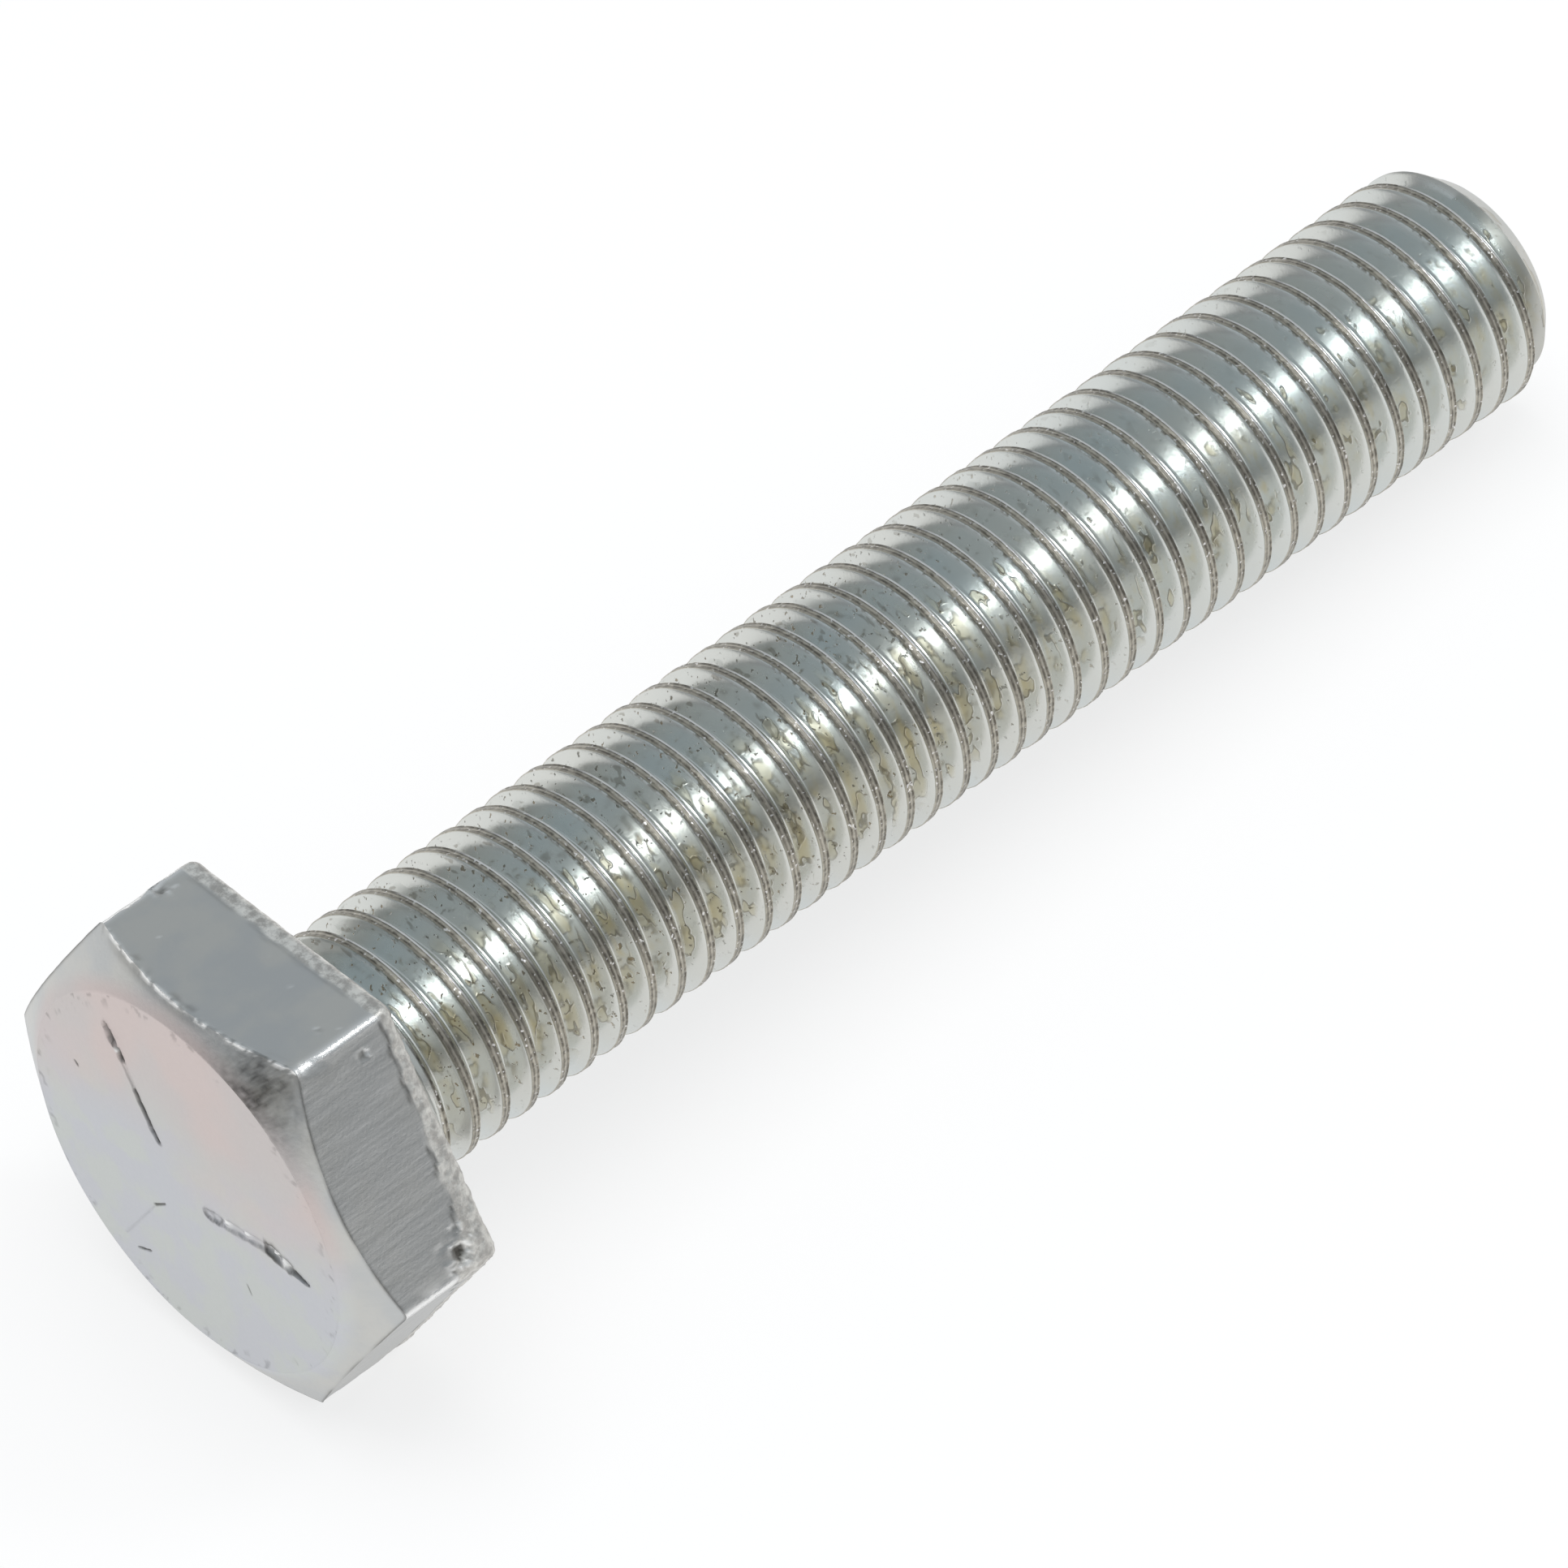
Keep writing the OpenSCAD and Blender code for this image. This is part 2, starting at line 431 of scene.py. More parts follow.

# %% [markdown]
# Both pieces are finished in the same way. The mesh is laid down while its object stays at the origin,
# it is shaded smoothly except at sharp edges, the piece is attached to the root body, and the CAD part
# that it stands for is hidden.

# %% Finish the shank
def finish_piece(name, mesh, smooth_angle):
    """Lay a finished mesh down on the table and shade it smoothly up to this angle, in degrees."""
    mesh.transform(lay_down)
    for v in mesh.vertices:
        v.co.z = max(v.co.z, 0.0)
    mesh.update()
    piece = bpy.data.objects.new(name, mesh)
    bpy.context.collection.objects.link(piece)
    mesh.polygons.foreach_set("use_smooth", [True] * len(mesh.polygons))
    mesh.set_sharp_from_angle(angle=math.radians(smooth_angle))
    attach(piece, "root")
    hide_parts("cap_screw")
    print(name, "has", sum(len(p.vertices) - 2 for p in mesh.polygons), "triangles")

finish_piece("threaded_shank", shank_mesh, 40)

# %% [markdown]
# The head was forged round and then trimmed to a hexagon. We draw it as rows of points around the
# axis: the top face, the chamfer, the straight sides, the rounded edge on the bearing side, and the
# washer face. At each angle the hexagon has its own distance from the axis, so the curved edge of the
# chamfer comes out by itself. The rows crowd together at the edges, which keeps the edges crisp.

# %% Draw the head's outline
corner_softness = 0.018
back_rounding = 0.30
spokes = 600
top_rows = 72
chamfer_rows = 14
wall_rows = 40
rounding_rows = 8
side_rows = wall_rows + rounding_rows

def hexagon_r(angle, softness):
    """Distance from the axis to the hexagon's side. Flats face 0, 60, 120 degrees and so on."""
    sixth = math.pi / 3
    off = (angle + sixth / 2) % sixth - sixth / 2
    near, next_one = math.cos(off), math.cos(sixth - abs(off))
    rounding = max(softness - (near - next_one), 0) ** 2 / (4 * softness)
    return across_flats / 2 / (near + rounding)

def spaced(count, crowded=True):
    """Shares from 0 to 1 without the 0, crowded at both ends if asked."""
    plain = [(i + 1) / count for i in range(count)]
    return [0.5 - 0.5 * math.cos(math.pi * t) for t in plain] if crowded else plain

def head_rows(angle):
    """Distance from the axis and height of each row of the head, from the top to the bearing face."""
    side = hexagon_r(angle, corner_softness)
    slope = math.tan(top_chamfer)
    edge_z = -head_height + (side - top_face_r) * slope
    back = -washer_face_height
    inner = side - back_rounding
    rows = [(top_face_r * t, -head_height) for t in spaced(top_rows, crowded=False)]
    for t in spaced(chamfer_rows):
        further = (side - top_face_r) * t
        rows.append((top_face_r + further, -head_height + further * slope))
    rows += [(side, edge_z + (back - back_rounding - edge_z) * t) for t in spaced(wall_rows)]
    for t in spaced(rounding_rows, crowded=False):
        turned = t * math.pi / 2
        short_of_back = back_rounding * (1 - math.sin(turned))
        rows.append((inner + back_rounding * math.cos(turned), back - short_of_back))
    rows += [(inner + (washer_face_r - inner) * t, back) for t in spaced(3, crowded=False)]
    rows += [(washer_face_r, -0.02), (washer_face_r - 0.02, 0.0), (0.6 * washer_face_r, 0.0)]
    return rows

print("Width over the corners:", round(2 * hexagon_r(math.pi / 6, corner_softness), 3), "mm")
print("Rows on each spoke of the head:", len(head_rows(0.0)))

# %% [markdown]
# Three short radial strokes on the top tell the strength of the steel. They were stamped at
# different depths: one is a narrow cut that opens into a pit, one is broad and round, and one is
# nearly worn away. Each is a line with a half width and a depth at both ends. The deep and narrow
# ones are painted darker. The same list holds the scratches that came later. A few edges of the
# strokes were burnished: these small spots are level with the face, so they mirror the white sheet,
# and their colour is painted near white as glints.

# %% The strokes and scratches of the top face
strokes = [
    # start, end, half width at both ends, depth at both ends, how much darker, where across the line the
    # darkest part lies
    ((-3.36, 2.34), (-3.08, 2.16), 0.11, 0.17, 0.14, 0.20, 1.0, 0.2),
    ((-3.08, 2.16), (-2.90, 2.04), 0.14, 0.08, 0.16, 0.06, 0.6, 0.9),
    ((-2.86, 1.98), (-2.64, 1.88), 0.11, 0.12, 0.12, 0.09, 1.0, 0.3),
    ((-2.64, 1.90), (-1.85, 1.50), 0.07, 0.085, 0.02, 0.06, 0.30, 0.8),
    ((-1.85, 1.50), (-0.98, 1.02), 0.09, 0.08, 0.08, 0.08, 0.85, 0.5),
    ((-0.98, 1.02), (-0.70, 0.85), 0.10, 0.08, 0.11, 0.06, 1.0, 0.3),
    ((0.45, -0.72), (0.40, -0.95), 0.15, 0.15, 0.06, 0.07, 0.5, 1.0),
    ((0.40, -0.95), (0.00, -2.66), 0.15, 0.14, 0.075, 0.075, 0.22, 1.0),
    ((-0.02, -2.78), (0.06, -3.35), 0.19, 0.17, 0.14, 0.15, 0.8, 1.05),
    ((0.06, -3.35), (0.15, -3.95), 0.15, 0.06, 0.14, 0.10, 0.9, 0.5),
    ((1.36, 0.84), (1.62, 1.16), 0.04, 0.05, 0.03, 0.03, 0.8, 0.2),
    ((1.70, 1.20), (3.45, 2.30), 0.035, 0.035, 0.014, 0.014, 0.12, 0.3),
    ((3.66, 1.90), (3.47, 1.52), 0.03, 0.045, 0.03, 0.03, 0.9, 0.2),
    ((1.88, -1.86), (2.13, -1.98), 0.03, 0.03, 0.02, 0.01, 0.5, 0.2),
    ((-1.24, 3.55), (-1.20, 3.53), 0.05, 0.05, 0.03, 0.03, 0.8, 0.2),
]

# Place and radius of the burnished spots, painted near white as glints
glints = [
    (0.28, -1.28, 0.16), (0.12, -1.95, 0.14), (-0.01, -2.92, 0.12),
    (0.05, -3.24, 0.28), (-2.78, 2.06, 0.08),
]

def bell(value, middle, width):
    return math.exp(-((value - middle) / width) ** 2)

def ramp(value, low, high):
    share = max(0.0, min(1.0, (value - low) / (high - low)))
    return share * share * (3 - 2 * share)

def stamped(x, y):
    """How deep the strokes go at this place of the top face, how high their lips stand, and how much
    darker they are painted.
    """
    depth = lip = grime_and_darkening = 0.0
    for (ax, ay), (bx, by), wide_a, wide_b, deep_a, deep_b, darkened, darkest_at in strokes:
        dx, dy = bx - ax, by - ay
        share = max(0.0, min(1.0, ((x - ax) * dx + (y - ay) * dy) / (dx * dx + dy * dy)))
        here = Vector((x, y, 0.0))
        ragged = 1 + 0.25 * wobble(here, 6.0, 1)
        wide = (wide_a + share * (wide_b - wide_a)) * ragged
        away = math.hypot(x - ax - share * dx, y - ay - share * dy) / wide
        if away < 2.2:
            deep = deep_a + share * (deep_b - deep_a)
            depth = max(depth, deep * max(0.0, 1 - away ** 2.5))
            lip = max(lip, 0.16 * deep * math.exp(-((away - 1.25) / 0.3) ** 2))
            # How much darker the stroke is painted, darkest along one line across it
            grime_and_darkening = max(grime_and_darkening, darkened * bell(away, darkest_at, 0.30 if darkest_at > 0.6 else 0.55))
    return depth, lip, grime_and_darkening

print(len(strokes), "lines on the top face, the deepest", max(line[5] for line in strokes), "mm")

# %% [markdown]
# Every effect of wear is a small push along the surface's normal, in millimetres, and three marks for
# the material: how grimy or painted darker, how torn, and how polished the place is, where the polish
# also paints glints and highlights. The top face has the strokes, a rim that handling wore down, and
# freckles of grime along that rim.

# %% Wear of the top face
rim_width = 0.5
rim_wear = 0.012

def on_flat(co):
    """Which flat a point is next to, and its place across that flat."""
    flat = round(math.degrees(math.atan2(co.y, co.x)) / 60) * 60 % 360
    a = math.radians(flat)
    return flat, -co.x * math.sin(a) + co.y * math.cos(a)

def waves(co):
    """The slow unevenness that every forged face has."""
    return 0.010 * wobble(co, 0.4, 2)

def worn_top(co):
    """Push along the normal, then grime and darkening, tearing, and polish with its painted glints, for a
    point of the top face.
    """
    depth, lip, grime_and_darkening = stamped(co.x, co.y)
    rim = ramp(math.hypot(co.x, co.y), top_face_r - rim_width, top_face_r)
    # Burnished spots, also painted near white as glints
    polish_and_glint = max(bell(math.hypot(co.x - x, co.y - y) / radius, 0.0, 0.7) for x, y, radius in glints)
    push = waves(co) + lip - depth * (1 - polish_and_glint) - rim_wear * rim + 0.002 * wobble(co, 3.0, 8)
    freckles = rim * ramp(wobble(co, 3.5, 5) + 0.5 * wobble(co, 9, 6), 0.30, 0.5)
    return push, max(grime_and_darkening, 0.26 * freckles), 0.0, polish_and_glint

print("The rim of the top face is worn over", rim_width, "mm, by up to", rim_wear, "mm")

# %% [markdown]
# Trimming shears the flats smooth over most of their height, in fine lines along the axis, and tears
# the last part next to the bearing side, where the steel is pale and rough. A darker line is painted
# along the top of the torn part. The flat that faces up was cut cleanly. The corners are rubbed bright
# and painted brighter as a highlight. The nicks are blows from other parts; they are painted darker
# inside, and some carry painted glints.

# %% Wear of the flats
nicks = [
    # flat, across, height, radius, depth, how much darker, shine of the painted glint
    (180, -3.02, -1.50, 0.20, 0.09, 0.5, 0.9), (180, -1.93, -2.49, 0.06, 0.010, 0.0, 0.8),
    (180, -1.88, -1.94, 0.05, 0.010, 0.0, 0.8), (180, 0.22, -1.12, 0.07, 0.012, 0.0, 0.9),
    (180, 1.21, -1.47, 0.09, 0.012, 0.0, 0.9), (180, 2.59, -1.85, 0.09, 0.015, 0.2, 1.0),
    (180, 2.88, -1.56, 0.07, 0.012, 0.0, 1.0), (240, -2.61, -1.39, 0.12, 0.05, 0.5, 0.8),
    (240, 2.65, -1.20, 0.24, 0.11, 0.9, 0.9), (240, 2.30, -1.65, 0.12, 0.03, 0.0, 1.0),
    (240, 2.95, -1.55, 0.08, 0.03, 0.6, 0.8), (240, 2.10, -1.10, 0.13, 0.03, 0.3, 0.8),
    (300, -2.2, -1.3, 0.15, 0.05, 0.6, 0.5), (60, 1.2, -2.2, 0.12, 0.04, 0.5, 0.6),
]

def torn_from(flat, across, edge):
    """Height at which the tearing of this flat begins."""
    along = Vector((across, 0.0, flat))
    if flat == 180:
        return -0.80 + 0.08 * wobble(along, 2, 4)
    if flat == 240:
        return -0.85 - 0.06 * across - 0.5 * ramp(across, 1.9, 2.9) + 0.1 * wobble(along, 3, 6)
    return -0.95 + 0.16 * wobble(along, 0.8, 4) + 0.08 * wobble(along, 4, 6) - 0.5 * ramp(edge, 0.9, 0.2)

def worn_side(co):
    """The same four values for a point of the flats, the corners or the bearing-side rounding."""
    flat, across = on_flat(co)
    edge = math.tan(math.radians(30)) * across_flats / 2 - abs(across)
    tear_at = torn_from(flat, across, edge)
    torn = ramp(co.z, tear_at, tear_at + 0.09)
    share = 0.3 if flat == 180 else 1.0
    rough = 0.024 * wobble(co, 2.6, 7) + 0.022 * wobble(co, 7.0, 8) + 0.014 * wobble(co, 15.0, 3)
    push = waves(co) + torn * share * (rough - 0.012)
    push -= 0.05 * bell(edge, 0.0, 0.22) * ramp(wobble(co, 1.6, 13), 0.12, 0.45)
    # A darker line is painted along the top of the torn part
    grime_and_darkening = 0.7 * share * bell(co.z, tear_at - 0.02, 0.05) * ramp(wobble(co, 1.5, 9), -0.3, 0.2)
    # Corners rubbed bright, also painted brighter as a highlight
    polish_and_glint = bell(edge, 0.03, 0.10) * (1 - torn)
    ragged = 1 + 0.4 * wobble(co, 4.0, 2) + 0.35 * wobble(co, 10.0, 5)
    for on, t, z, radius, depth, darkening, shine in nicks:
        away = math.hypot(across - t, co.z - z) / radius * ragged if on == flat else 9.0
        if away < 2.5:
            push -= depth * max(0.0, 1 - away ** 2) - 0.2 * depth * bell(away, 1.3, 0.3)
            # Nicks are painted darker inside, and their polish paints glints
            grime_and_darkening = max(grime_and_darkening, darkening * ramp(away, 0.95, 0.5))
            broken = ramp(wobble(co, 6.0, 4), -0.15, 0.25) if darkening else 1.0
            polish_and_glint = max(polish_and_glint, shine * broken * bell(away, 1.15 if darkening else 0.0, 0.35))
    return push, grime_and_darkening, torn, polish_and_glint

print(len(nicks), "nicks on the flats, the deepest", max(nick[4] for nick in nicks), "mm")

# %% [markdown]
# One corner of the chamfer is smudged and the edge beside the upper flat is rubbed bright, both from
# handling. That edge also carries broken glints, painted near white. The dark line along the other
# edges is a burr that the cutting die left. We measure how far a point lies from the chamfer's edge,
# along the outline, and put the marks there.

# %% Wear along the chamfer's edge
smudge = Vector((-4.82, -2.47, 0.0))

def worn_chamfer(co, beside):
    """The same four values for the chamfer and its edge; beside is the distance from that edge."""
    flat = on_flat(co)[0]
    mottled = 0.9 + 0.35 * wobble(co, 4.0, 3) + 0.45 * wobble(co, 11.0, 4)
    near = (Vector((co.x, co.y, 0.0)) - smudge).length
    grime_and_darkening = 0.0
    if beside < 0.05:
        grime_and_darkening = (0.36 * bell(near, 0.0, 0.75) + 0.42 * bell(near, 0.0, 1.6)) * mottled
    push = 0.006 * wobble(co, 4.0, 5) * bell(beside, 0.0, 0.15)
    polish_and_glint = 0.0
    if flat == 180:
        bright = ramp(wobble(co, 2.3, 6) + 0.9 * wobble(co, 8.0, 2), -0.25, 0.25)
        # Broken glints painted near white along the edge beside the upper flat
        polish_and_glint = bell(beside, -0.02, 0.065) * bright
        push += 0.012 * wobble(co, 8.0, 9) * bell(beside, 0.0, 0.08)
        grime_and_darkening = max(grime_and_darkening, 0.30 * bell(beside, -0.14, 0.14) * ramp(wobble(co, 1.8, 7), -0.3, 0.2))
        grime_and_darkening = max(grime_and_darkening, 0.30 * bell(beside, 0.12, 0.08) * ramp(wobble(co, 2.4, 3), -0.1, 0.3))
    else:
        grime_and_darkening = max(grime_and_darkening, 0.55 * bell(beside, 0.0, 0.045) * ramp(wobble(co, 0.8, 8), -0.6, 0.0))
    return push, grime_and_darkening, 0.0, polish_and_glint

print("The smudge lies", round(smudge.length, 2), "mm from the axis")

# %% [markdown]
# The head's net has one ring of points for each spoke around the axis, and a fan of faces closes it at
# the middle of its top and of its bearing side. We note each point's row and its distance from the
# chamfer's edge, because the wear needs them.

# %% Build the head's net
walls_from = top_rows + chamfer_rows
back_from = walls_from + side_rows
bm = bmesh.new()
rings = []
beside_edge = {}
for k in range(spokes):
    a = k * 2 * math.pi / spokes
    outline = head_rows(a)
    edge = Vector(outline[walls_from - 1])
    ring = []
    for i, (r, z) in enumerate(outline):
        v = bm.verts.new((r * math.cos(a), r * math.sin(a), z))
        sign = -1 if i < walls_from else 1
        beside_edge[v] = (i, sign * (Vector((r, z)) - edge).length)
        ring.append(v)
    rings.append(ring)
top_pole = bm.verts.new((0, 0, -head_height))
back_pole = bm.verts.new((0, 0, 0))
for k in range(spokes):
    here, there = rings[k], rings[(k + 1) % spokes]
    bm.faces.new((top_pole, here[0], there[0]))
    for i in range(len(here) - 1):
        bm.faces.new((here[i], here[i + 1], there[i + 1], there[i]))
    bm.faces.new((here[-1], back_pole, there[-1]))
bmesh.ops.recalc_face_normals(bm, faces=bm.faces)
bm.normal_update()
print("The head's net has", len(bm.verts), "points")

# %% [markdown]
# All pushes are worked out before any point moves, so that each follows the normal of the clean shape.
# Two more marks go to the material: how plainly a place shows the lines of the cut, and where across
# its flat it lies, which is the direction that those lines are counted in.

# %% Wear the head and mark its points
def all_wear(co, row, beside):
    """Push, grime and darkening, tearing, and polish with painted glints for any point of the head."""
    if row < top_rows:
        return worn_top(co)
    if row >= back_from:
        return 0.0, 0.0, 0.0, 0.0
    near_edge = worn_chamfer(co, beside)
    if row < walls_from:
        return near_edge
    on_wall = worn_side(co)
    larger = [max(pair) for pair in zip(on_wall, near_edge)]
    return on_wall[0] + near_edge[0], *larger[1:]

def cut_lines(co, row):
    """How plainly a point shows the lines of the cut."""
    if not top_rows <= row < back_from:
        return 0.0
    if row < walls_from:
        return 0.2
    return 0.08 if on_flat(co)[0] == 180 else 1.0

marks = {"grime_and_darkening": [], "torn": [], "polish_and_glint": [], "cut": []}
pushes = []
for v in bm.verts:
    row, beside = beside_edge.get(v, (0, -9.0))
    push, *values = all_wear(v.co, row, beside)
    pushes.append(v.normal * push)
    for name, value in zip(marks, (*values, cut_lines(v.co, row))):
        marks[name].append(value)
for v, push in zip(bm.verts, pushes):
    v.co += push
print("Deepest mark on the head:", round(max(p.length for p in pushes), 3), "mm")

# %% [markdown]
# The marks are kept in the mesh as attributes of its points, under names by which the material can
# read them. Then the head is laid down like the shank.

# %% Finish the head
head_mesh = bpy.data.meshes.new("hexagon_head")
bm.to_mesh(head_mesh)
bm.free()
marks["across"] = [on_flat(v.co)[1] for v in head_mesh.vertices]
for name, values in marks.items():
    head_mesh.attributes.new(name, "FLOAT", "POINT").data.foreach_set("value", values)
plated_head = bpy.data.materials.new("zinc on the head")
head_mesh.materials.append(plated_head)
finish_piece("hexagon_head", head_mesh, 60)

# %% [markdown]
# Zinc plate is a thin crystalline coat of metal. It mirrors softly, and its colour comes almost
# wholly from what it reflects. So both materials are metals with a satin roughness, a fine grain in
# their normal, and slow changes of tint. A mapping turns the place of each point back to the standing
# drawing, so that patterns are counted in millimetres and follow the screw's axis.

# %% Helpers for the zinc plate
def colour_mix(nodes, share, first, second):
    """A mix of two colours. Sockets 6 and 7 of a Mix node take its colours, and 2 gives the result."""
    node = nodes.add("ShaderNodeMix", {"data_type": "RGBA"})
    nodes.feed(node.inputs[0], share)
    nodes.feed(node.inputs[6], first if not isinstance(first, tuple) else (*first, 1.0))
    nodes.feed(node.inputs[7], second if not isinstance(second, tuple) else (*second, 1.0))
    return node.outputs[2]

def grain(nodes, where, scale, detail=2.0, roughness=0.5):
    node = nodes.add("ShaderNodeTexNoise", None, Vector=where, Scale=scale,
                     Detail=detail, Roughness=roughness)
    return nodes.value(node.outputs[0])

def start_material(material):
    """An empty metal, and the place of each point in the drawing's own frame, in millimetres."""
    material.use_nodes = True
    material.node_tree.nodes.clear()
    nodes = Nodes(material.node_tree)
    shader = nodes.add("ShaderNodeBsdfPrincipled", None, Metallic=1.0)
    out = nodes.add("ShaderNodeOutputMaterial")
    nodes.feed(out.inputs[0], shader.outputs[0])
    where = nodes.add("ShaderNodeTexCoord")
    stand_up = lay_down.inverted()
    moved = nodes.add("ShaderNodeMapping", {"vector_type": "POINT"}, Vector=where.outputs["Object"],
                      Location=stand_up.to_translation(), Rotation=stand_up.to_euler("XYZ"),
                      Scale=(1 / MM, 1 / MM, 1 / MM))
    return nodes, shader, moved.outputs[0]

def bump(nodes, height, distance):
    return nodes.add("ShaderNodeBump", None, Height=height, Distance=distance, Strength=1.0).outputs[0]

def marks_of(nodes, *names):
    """The marks that the mesh keeps at its points, as values."""
    kept = [nodes.add("ShaderNodeAttribute", {"attribute_name": name}) for name in names]
    return [nodes.value(node.outputs["Fac"]) for node in kept]

def along_axis(nodes, spot, axis):
    """How far along this axis a place lies, as a value."""
    return nodes.value(nodes.add("ShaderNodeSeparateXYZ", None, Vector=spot).outputs[axis])

def facing(nodes, spot, degrees, half_width):
    """1 on the side of the shank that faces this way about its axis, 0 on the other side."""
    x, y = along_axis(nodes, spot, "X"), along_axis(nodes, spot, "Y")
    a = math.radians(degrees)
    cosine = (x * math.cos(a) + y * math.sin(a)) / (x * x + y * y) ** 0.5
    return cosine.step(math.cos(math.radians(half_width + 12)), math.cos(math.radians(half_width - 12)))

# %% [markdown]
# The thread's plate is mapped out first: which points are crest, flank or low in the groove, which
# sides of the shank took the stains, and how they fade towards the clean far end. The middle of a
# crest lies at 0 across the ridge, and the side towards the point is positive.

# %% Map out the thread
n, shader, spot = start_material(plated_thread)
ridge_height, across_pitch = marks_of(n, "on_ridge", "across_ridge")
across_ridge = across_pitch - 0.5
slow = grain(n, spot, 0.35)
fine_grain = grain(n, spot, 14.0, 3.0)
speck = grain(n, spot, 5.5, 3.0, 0.6)
longer_around = (1.6, 1.6, 6.0)
around_it = n.add("ShaderNodeVectorMath", {"operation": "MULTIPLY"}, i0=spot, i1=longer_around).outputs[0]
drawn_out = grain(n, around_it, 1.1, 2.0)
on_crest = ridge_height.step(0.93, 0.975)
on_flank = ridge_height.band(0.05, 0.15, 0.80, 0.90)
low = 1.0 - ridge_height.step(0.45, 0.70)
near_side = facing(n, spot, -122, 42)
sunny_side = facing(n, spot, 165, 45)
z_place = along_axis(n, spot, "Z")
stained = 1.0 - z_place.step(14.0, 28.0) * 0.8
chamfer_start = shank_length - (major_r - point_r) / point_slope
chamfered = z_place.step(chamfer_start - 0.02, chamfer_start + 0.08)
print(f"The point's chamfer starts {chamfer_start:.2f} mm from the bearing face")

# %% [markdown]
# In the grooves the last rinse dried up. It left a faint yellowish film, olive patches with dark rims
# low on the flanks, smears and brown dots. Short dark stains stand beside the crests on the upper side.

# %% What dried in the grooves
clean = colour_mix(n, slow.step(0.35, 0.65), (0.652, 0.694, 0.690), (0.682, 0.702, 0.680))
film = facing(n, spot, -100, 36) * 0.8 + near_side * grain(n, spot, 0.8).step(0.4, 0.6) * 0.2
film = (film + facing(n, spot, 138, 26) * 0.7) * (stained * 0.5 + 0.5)
filmed = colour_mix(n, film.held(), clean, (0.658, 0.660, 0.620))
patch = grain(n, around_it, 0.62, 2.0, 0.5) + facing(n, spot, -112, 26) * 0.04 - (1.0 - stained) * 0.11
inside = patch.step(0.56, 0.605) * on_flank * low
rim = patch.band(0.55, 0.57, 0.585, 0.61) * on_flank * low * near_side
patched = colour_mix(n, inside * near_side * 0.55, filmed, (0.67, 0.615, 0.43))
smears = drawn_out.step(0.48, 0.66) * on_flank * low * facing(n, spot, -122, 20)
smeared = colour_mix(n, smears * 0.35, patched, (0.66, 0.58, 0.36))
streaks = drawn_out.step(0.63, 0.68) * on_flank * sunny_side * stained
beside_crest = across_ridge.band(-0.19, -0.14, -0.10, -0.07)
stains = beside_crest * speck.step(0.46, 0.60) * facing(n, spot, -162, 16)
dark_share = (rim * 0.55 + streaks * 0.45 + stains * 0.8).held()
darkened = colour_mix(n, dark_share, smeared, (0.16, 0.135, 0.09))
dotted_sides = (near_side * 0.8 + sunny_side + 0.2).held()
dots = grain(n, spot, 6.0, 2.0, 0.6).step(0.64, 0.69) * on_flank * dotted_sides * stained
dot_brown = colour_mix(n, slow.step(0.4, 0.6), (0.30, 0.21, 0.10), (0.13, 0.12, 0.09))
dotted = colour_mix(n, dots * 0.75, darkened, dot_brown)
print("The thread's material has", len(n.tree.nodes), "nodes so far")

# %% [markdown]
# The crests rubbed against the rolling dies and later against nuts and other screws. They are rough,
# brownish and drawn out in fine parallel lines. Bright and dark lines across each crest are painted
# highlight and shade on its rounded edges, and on one side of the shank the crests are painted darker
# as shade. Single grains are painted near white as glints, and one rolled edge of each crest as a
# painted highlight on one side of the shank. The chamfer of the point was cut, so it is duller than
# the flanks.

# %% The crests and the point
# Fine lines along each crest, painted bright at its edges and dark just inside them: painted highlight
# and shade
lines = (across_ridge * 48.0 + speck * 2.5 - 1.2).math("COSINE") * 0.5 + 0.5
bright_share = lines * 0.6 + speck.step(0.38, 0.60) * 0.4
rubbed = colour_mix(n, bright_share, (0.080, 0.068, 0.050), (0.55, 0.512, 0.43))
# Painted shade: the crests on one side of the shank are darkened
crest_with_painted_shade = colour_mix(n, facing(n, spot, -133, 20) * 0.5, rubbed, (0.05, 0.044, 0.036))
# Painted highlight along the rounded edge of each crest on the point's side, on one side of the shank
painted_edge_highlight = across_ridge.band(0.055, 0.07, 0.10, 0.125) * facing(n, spot, -168, 26)
# Grains painted near white as glints, together with that painted highlight
sparks_and_painted_highlight = (grain(n, spot, 10.0, 2.0, 0.5).step(0.62, 0.70) * 0.8 + painted_edge_highlight).held() * on_crest
with_crests = colour_mix(n, on_crest * 0.94, dotted, crest_with_painted_shade)
with_point = colour_mix(n, chamfered * 0.55, with_crests, (0.46, 0.44, 0.40))
with_sparks_and_highlight = colour_mix(n, sparks_and_painted_highlight * 0.85, with_point, (0.97, 0.96, 0.95))

# %% Colour, roughness and grain of the thread
n.feed(shader.inputs["Base Color"], with_sparks_and_highlight)
roughness = 0.20 + fine_grain * 0.06 + chamfered * 0.12 + on_crest * 0.16
roughness = roughness + (inside + dots) * 0.12 - sparks_and_painted_highlight * 0.15
n.feed(shader.inputs["Roughness"], roughness.held())
relief = fine_grain * 0.12 + (speck * 1.2 + lines * 0.5) * on_crest + rim * 0.6 - dots
n.feed(shader.inputs["Normal"], bump(n, relief, 0.012 * MM))
print("The thread's material has", len(n.tree.nodes), "nodes")

# %% [markdown]
# The plate of the head shines less evenly. Its top is pale, with faint warm and cool tints, because the
# clear film over the zinc is hardly thicker than a wave of light is long. The cut sides are duller, with
# fine lines along the axis.

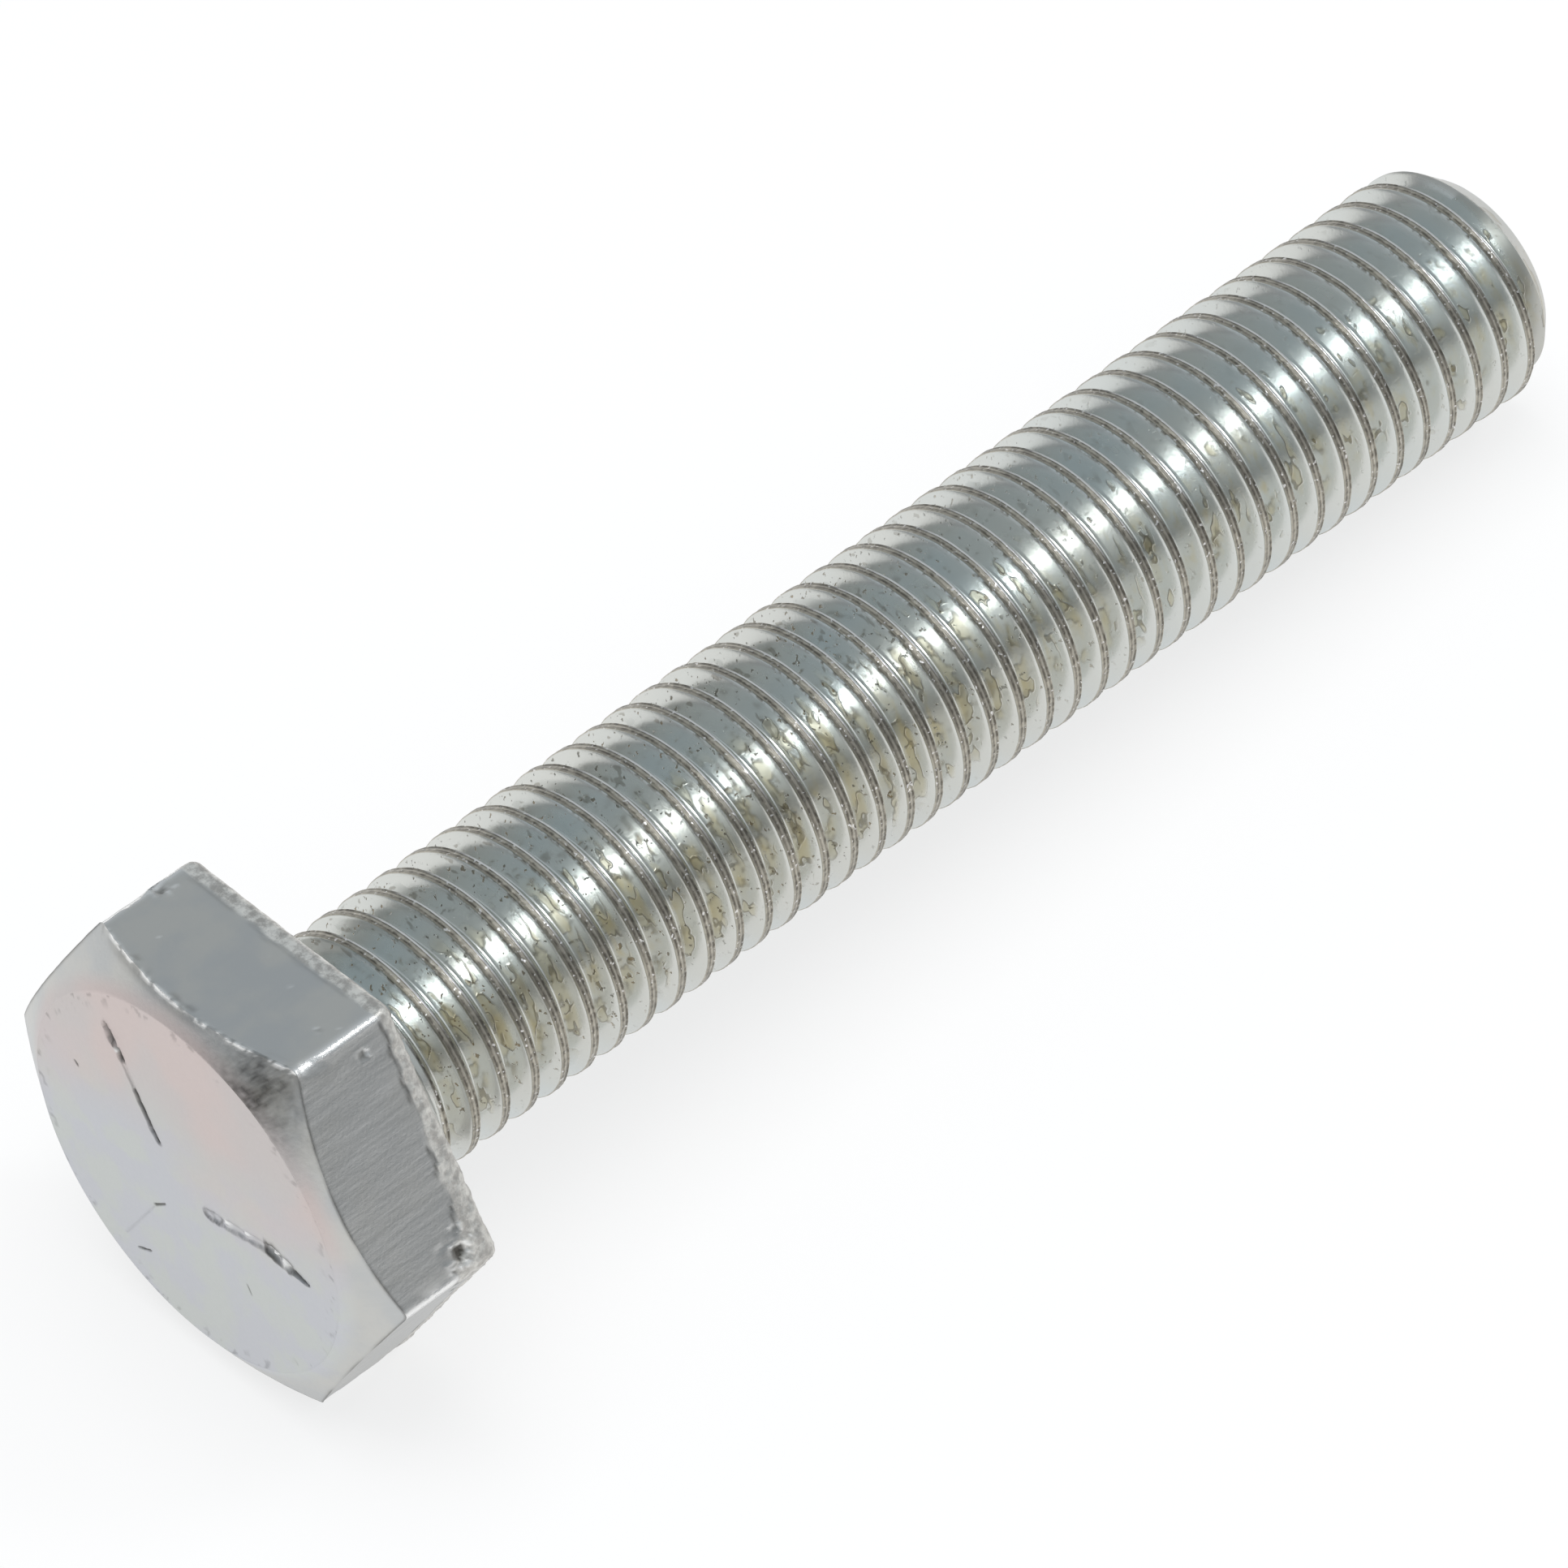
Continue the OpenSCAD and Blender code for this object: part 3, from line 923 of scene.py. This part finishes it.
# %% The plain faces of the head
n, shader, spot = start_material(plated_head)
grime_and_darkening, torn, polish_and_glint, across, cut = marks_of(n, "grime_and_darkening", "torn", "polish_and_glint", "across", "cut")
x_place, z_place = along_axis(n, spot, "X"), along_axis(n, spot, "Z")
on_top = (z_place * -1.0).step(head_height - 0.30, head_height - 0.02)
slow = grain(n, spot, 0.30)
patchy = grain(n, spot, 0.8, 3.0)
fine_grain = grain(n, spot, 11.0, 3.0)
crystals = grain(n, spot, 4.5, 4.0, 0.65)
axial = n.add("ShaderNodeCombineXYZ", X=across * 7.0, Y=z_place * 0.55, Z=on_top * 9.0)
shear = grain(n, axial.outputs[0], 1.0, 4.0, 0.7)
side = colour_mix(n, patchy.step(0.35, 0.65), (0.548, 0.560, 0.560), (0.608, 0.604, 0.578))
warm = colour_mix(n, slow.step(0.42, 0.58), (0.670, 0.586, 0.565), (0.632, 0.588, 0.575))
cool = colour_mix(n, patchy.step(0.42, 0.60), (0.605, 0.615, 0.645), (0.615, 0.635, 0.62))
top = colour_mix(n, (x_place + slow * 3.0).step(-1.5, 2.5), warm, cool)
dull = colour_mix(n, cut * 0.75, side, (0.345, 0.35, 0.345))
sheared = colour_mix(n, shear.step(0.35, 0.70) * cut * 0.25, dull, (0.76, 0.76, 0.75))
plain = colour_mix(n, on_top, sheared, top)
print("The head's material has", len(n.tree.nodes), "nodes so far")

# %% [markdown]
# Over the plain faces come the marks that the mesh keeps: first the torn steel, pale and coarse, then
# the grime and painted darkening, and last the polish, which wiped everything else away. The polish is
# painted near white, as glints and highlights.

# %% Tears, grime and darkening, polish and painted glints
torn_steel = colour_mix(n, cut, (0.99, 0.97, 0.92), (0.80, 0.785, 0.74))
rough_steel = colour_mix(n, crystals.step(0.35, 0.65), (0.50, 0.48, 0.45), torn_steel)
with_tears = colour_mix(n, torn * 0.8, plain, rough_steel)
dark = colour_mix(n, crystals.step(0.4, 0.6), (0.03, 0.027, 0.022), (0.10, 0.092, 0.078))
# Grime, and the darkening painted into strokes, nicks and edges
with_grime_and_darkening = colour_mix(n, grime_and_darkening.held(), with_tears, dark)
# Polish painted near white, as glints and highlights
with_polish_and_glint = colour_mix(n, polish_and_glint * 0.9, with_grime_and_darkening, (0.96, 0.96, 0.95))
n.feed(shader.inputs["Base Color"], with_polish_and_glint)
roughness = 0.30 + fine_grain * 0.10 + on_top * 0.12 + torn * 0.12 + grime_and_darkening * 0.25 - polish_and_glint * 0.1
n.feed(shader.inputs["Roughness"], roughness.held())
relief = fine_grain * 0.6 + crystals * (torn * 3.0 + polish_and_glint * 2.5) + shear * cut * 0.6
n.feed(shader.inputs["Normal"], bump(n, relief, 0.008 * MM))
print("The head's material has", len(n.tree.nodes), "nodes")

# %% [markdown]
# The floor is a plain white sheet. For the camera and in the metal's reflections, three quarters of it
# glow a plain white. The rest is matt, so it still takes the screw's shadow, and it lights the screw as
# paper does.

# %% The floor
glow_share = 0.75
half = 2.0
corners = [(-half, -half, 0), (half, -half, 0), (half, half, 0), (-half, half, 0)]
floor_mesh = bpy.data.meshes.new("floor")
floor_mesh.from_pydata(corners, [], [(0, 1, 2, 3)])
floor = bpy.data.objects.new("floor", floor_mesh)
bpy.context.collection.objects.link(floor)
white = bpy.data.materials.new("white sheet")
white.use_nodes = True
white.node_tree.nodes.clear()
n = Nodes(white.node_tree)
sheet = n.add("ShaderNodeBsdfDiffuse", None, Color=(0.88, 0.88, 0.88, 1.0))
glow = n.add("ShaderNodeEmission", None, Color=(1.0, 1.0, 1.0, 1.0), Strength=1.0)
seen = n.add("ShaderNodeLightPath")
straight = n.value(seen.outputs["Is Camera Ray"]) + n.value(seen.outputs["Is Glossy Ray"])
straight = (straight + n.value(seen.outputs["Is Transmission Ray"])).held()
both = n.add("ShaderNodeMixShader")
n.feed(both.inputs[0], straight * glow_share)
n.feed(both.inputs[1], sheet.outputs[0])
n.feed(both.inputs[2], glow.outputs[0])
out = n.add("ShaderNodeOutputMaterial")
n.feed(out.inputs[0], both.outputs[0])
floor_mesh.materials.append(white)
print("The sheet is", 2 * half, "m wide")

# %% [markdown]
# Metal shows its surroundings, so the world is made for what the screw reflects: a grey room that gets
# lighter and a little bluer towards its ceiling. Just above the horizon it is nearly as white as the
# sheet, so that the sheet seems to go on when the camera lies low.

# %% The room around it
world = bpy.data.worlds.new("studio")
bpy.context.scene.world = world
world.use_nodes = True
n = Nodes(world.node_tree)
n.tree.nodes.clear()
sky = n.add("ShaderNodeTexCoord")
up = along_axis(n, sky.outputs["Generated"], "Z")
above = colour_mix(n, up.step(0.06, 0.32), (0.19, 0.19, 0.195), (0.50, 0.535, 0.56))
air = n.add("ShaderNodeBackground", None, Strength=1.0)
n.feed(air.inputs["Color"], colour_mix(n, up.step(0.048, 0.072), (0.93, 0.93, 0.93), above))
out = n.add("ShaderNodeOutputWorld")
n.feed(out.inputs[0], air.outputs[0])
print("The room has", len(n.tree.nodes), "nodes")

# %% [markdown]
# One square softbox makes the bright line along the shank, and a large faint glow around it softens
# that line's sides. In the grooves its light bounces from one flank to the other. A third lamp, high
# up and wide, lights the sheet. The metal doesn't mirror it, so that it adds no second bright line.

# %% The lamps
def softbox(name, azimuth, elevation, distance, width, height, radiance):
    """A flat lamp that faces the screw and has this radiance."""
    lamp = bpy.data.lights.new(name, "AREA")
    lamp.shape = "RECTANGLE"
    lamp.size = width
    lamp.size_y = height
    lamp.energy = radiance * math.pi * width * height
    thing = bpy.data.objects.new(name, lamp)
    a, e = math.radians(azimuth), math.radians(elevation)
    towards = Vector((math.cos(a) * math.cos(e), math.sin(a) * math.cos(e), math.sin(e)))
    thing.location = towards * distance
    thing.rotation_euler = towards.to_track_quat("Z", "Y").to_euler()
    bpy.context.collection.objects.link(thing)
    print(f"{name}: azimuth {azimuth}, elevation {elevation}, {width} by {height} m")
    return thing

softbox("key softbox", -31, 49, 0.6, 0.13, 0.13, 9.0)
softbox("glow around the key", -37, 43, 0.61, 0.46, 0.46, 0.4)
floor_light = softbox("floor light", 100, 84, 1.0, 0.8, 0.8, 3.0)
floor_light.visible_glossy = False

# %% [markdown]
# The last cell brings the scene's view layer up to date.

# %% Finish
bpy.context.view_layer.update()
